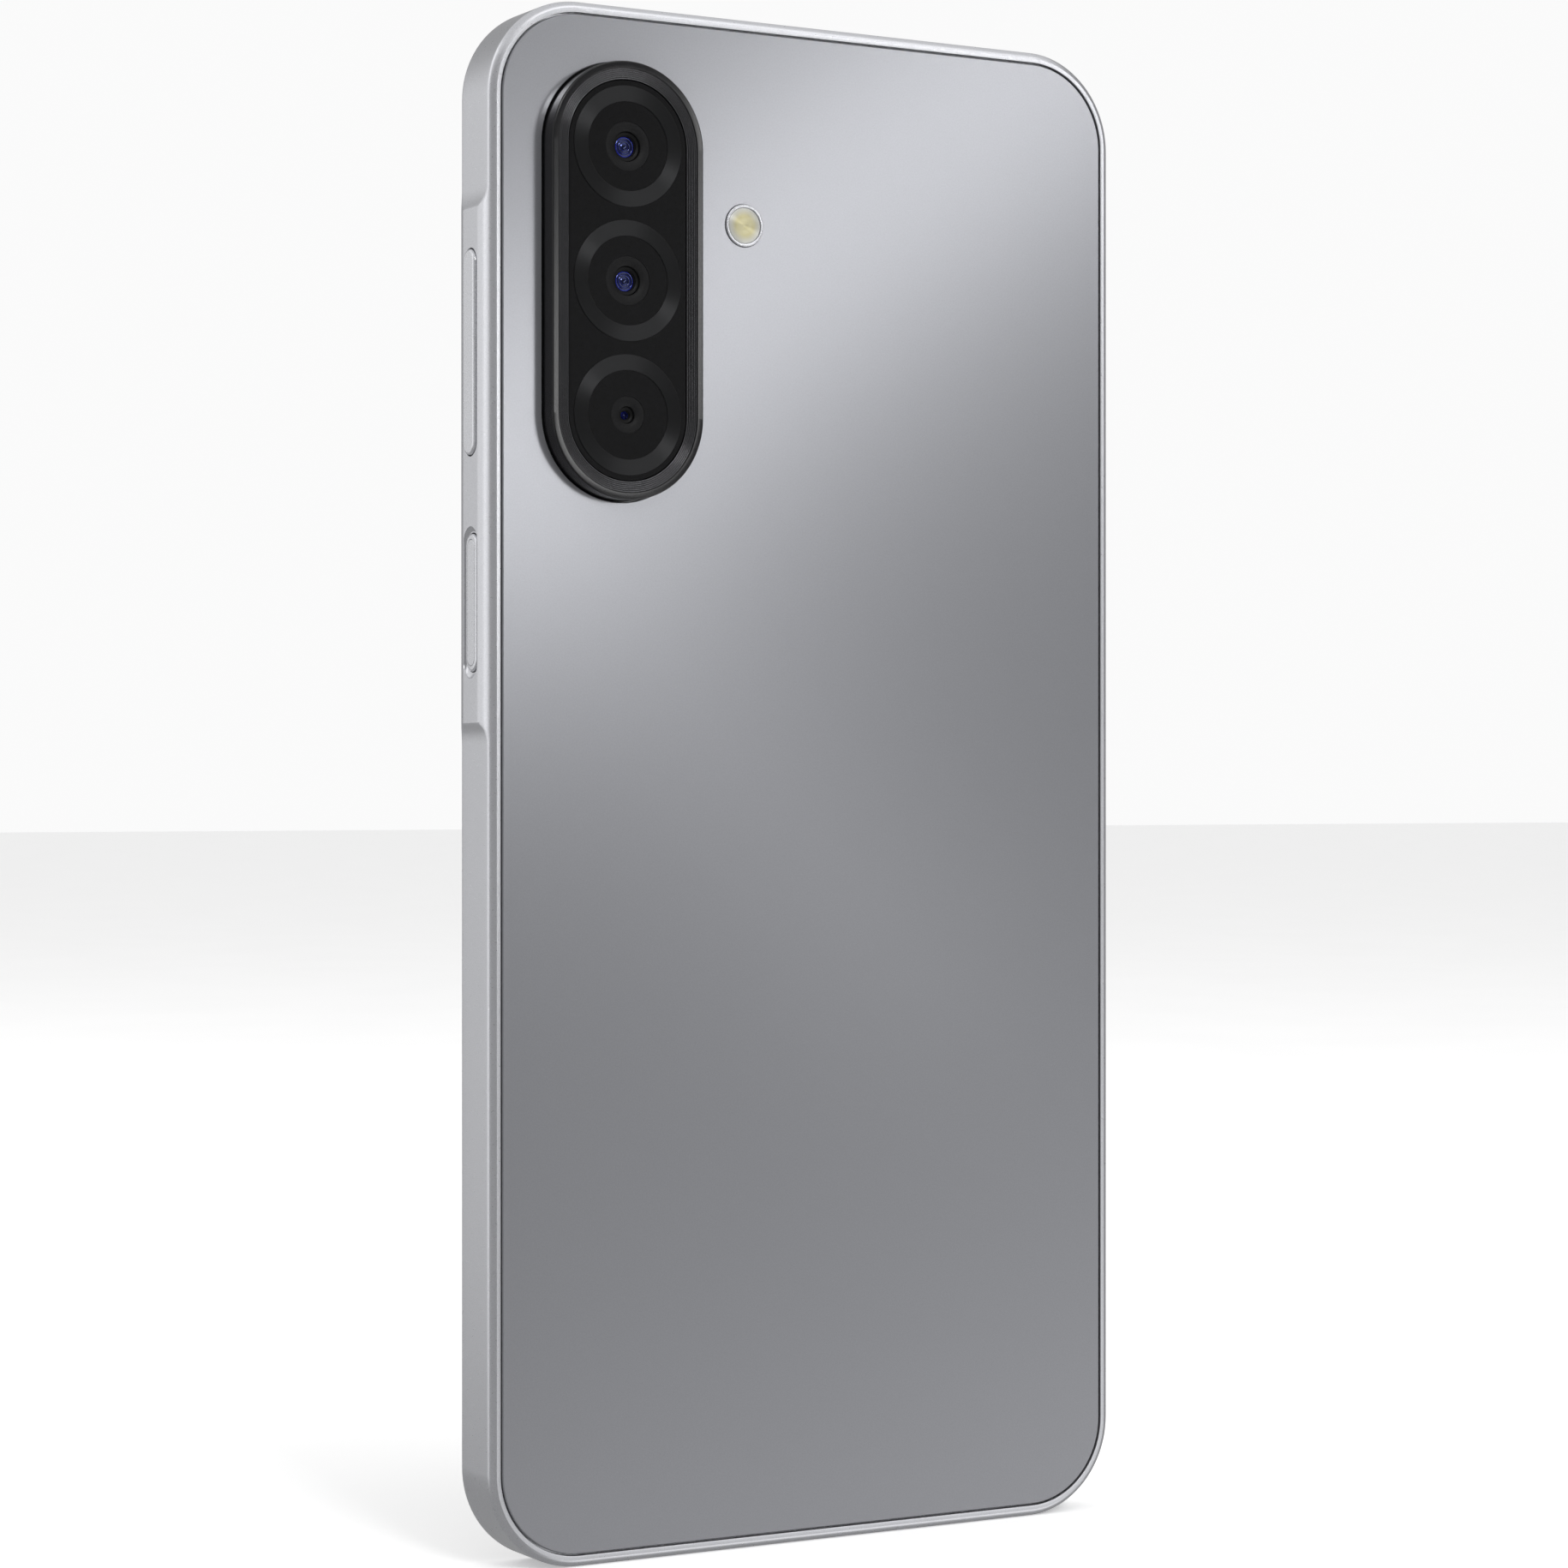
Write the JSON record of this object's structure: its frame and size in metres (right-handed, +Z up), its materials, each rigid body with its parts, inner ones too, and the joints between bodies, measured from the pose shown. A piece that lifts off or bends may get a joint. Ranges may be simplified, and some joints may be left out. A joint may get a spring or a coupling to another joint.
{
  "type": "smartphone",
  "caption": "Upright smartphone with a flat satin rear cover, a raised camera island in a column, side keys, a port and a slide-out card tray.",
  "frame": {"origin": "under the middle of the phone, on the surface it stands on, halfway through its depth with the camera island included", "axes": "+Z up the phone's height, +Y out of the display, -Y out of the rear cover and cameras, -X out of the side with the keys"},
  "size_m": [0.0786, 0.0098, 0.1644],
  "materials": {
    "frame_paint": "light grey satin metallic paint",
    "cover_satin": "grey satin film with a fine grain and soft slanting light bands",
    "black_gloss": "glossy black",
    "black_matte": "matte black",
    "ring_metal": "dark grey, spun in fine circles",
    "key_metal": "light grey satin with a bright bevel",
    "clear_glass": "clear, polished",
    "lens_coating": "coated optical glass with a blue sheen",
    "flash_yellow": "cream yellow diffuser",
    "steel": "brushed stainless steel",
    "alloy": "cast alloy, matte",
    "board_green": "green solder mask",
    "battery_wrap": "dark pouch foil wrap",
    "flex_amber": "amber polyimide film",
    "copper": "bare copper",
    "rubber_grey": "soft silicone rubber"
  },
  "bodies": {
    "housing": {"side_frame": "frame_paint", "rear_cover": "cover_satin", "display_glass": "clear_glass", "earpiece_mesh": "black_matte", "display_panel": "black_gloss", "mid_plate": "alloy", "rear_cover_adhesive": "black_matte", "display_adhesive": "black_matte", "camera_bezel": "black_gloss", "camera_window": "clear_glass", "camera_window_mask": "black_gloss", "lens_ring_top": "ring_metal", "lens_ring_middle": "ring_metal", "lens_ring_bottom": "ring_metal", "ultra_wide_camera_housing": "steel", "ultra_wide_camera_barrel": "black_matte", "ultra_wide_camera_lens": "lens_coating", "main_camera_housing": "steel", "macro_camera_housing": "steel", "macro_camera_barrel": "black_matte", "macro_camera_lens": "lens_coating", "flash_bezel": "key_metal", "flash_lens": "flash_yellow", "flash_led": "flash_yellow", "side_key_flex": "flex_amber", "volume_up_switch": "steel", "volume_down_switch": "steel", "power_switch": "steel", "sim_reader": "steel", "main_board": "board_green", "processor_shield": "steel", "radio_shield": "steel", "sub_board": "board_green", "bottom_microphone": "steel", "main_flex_cable": "flex_amber", "nfc_antenna": "copper", "battery": "battery_wrap", "upper_bracket": "black_matte", "speaker_box": "black_matte", "screw_1": "steel", "screw_2": "steel", "screw_3": "steel", "screw_4": "steel", "screw_5": "steel", "screw_6": "steel", "usb_port_shell": "steel", "usb_port_tongue": "black_matte", "vibration_motor_case": "steel", "vibration_motor_base": "steel", "front_camera_housing": "steel", "front_camera_barrel": "black_matte", "earpiece_receiver": "steel"},
    "volume_key": {"volume_key": "key_metal"},
    "power_key": {"power_key": "key_metal", "fingerprint_sensor": "key_metal"},
    "sim_tray": {"sim_tray": "frame_paint", "sim_tray_seal": "rubber_grey"},
    "main_lens_carrier": {"main_camera_barrel": "black_matte", "main_camera_lens": "lens_coating"},
    "motor_rotor": {"vibration_motor_rotor": "alloy"}
  },
  "joints": [
    {"name": "volume_rock", "type": "hinge", "parent": "housing", "child": "volume_key", "pos_m": [-0.0365, 0.0011, 0.12728], "axis": [0, 1, 0], "range_deg": [-1.3, 1.3], "stiffness_Nm_per_rad": 0.3},
    {"name": "power_press", "type": "slide", "parent": "housing", "child": "power_key", "axis": [1, 0, 0], "range_m": [0, 0.00025], "stiffness_N_per_m": 1200, "springref_m": -0.0002},
    {"name": "sim_tray_slide", "type": "slide", "parent": "housing", "child": "sim_tray", "axis": [1, 0, 0], "range_m": [0, 0.0175]},
    {"name": "autofocus_slide", "type": "slide", "parent": "housing", "child": "main_lens_carrier", "axis": [0, -1, 0], "range_m": [0, 0.00022], "stiffness_N_per_m": 300},
    {"name": "motor_spin", "type": "hinge", "parent": "housing", "child": "motor_rotor", "pos_m": [0.026, 0.0006, 0.0127], "axis": [0, 1, 0], "continuous": true}
  ]
}
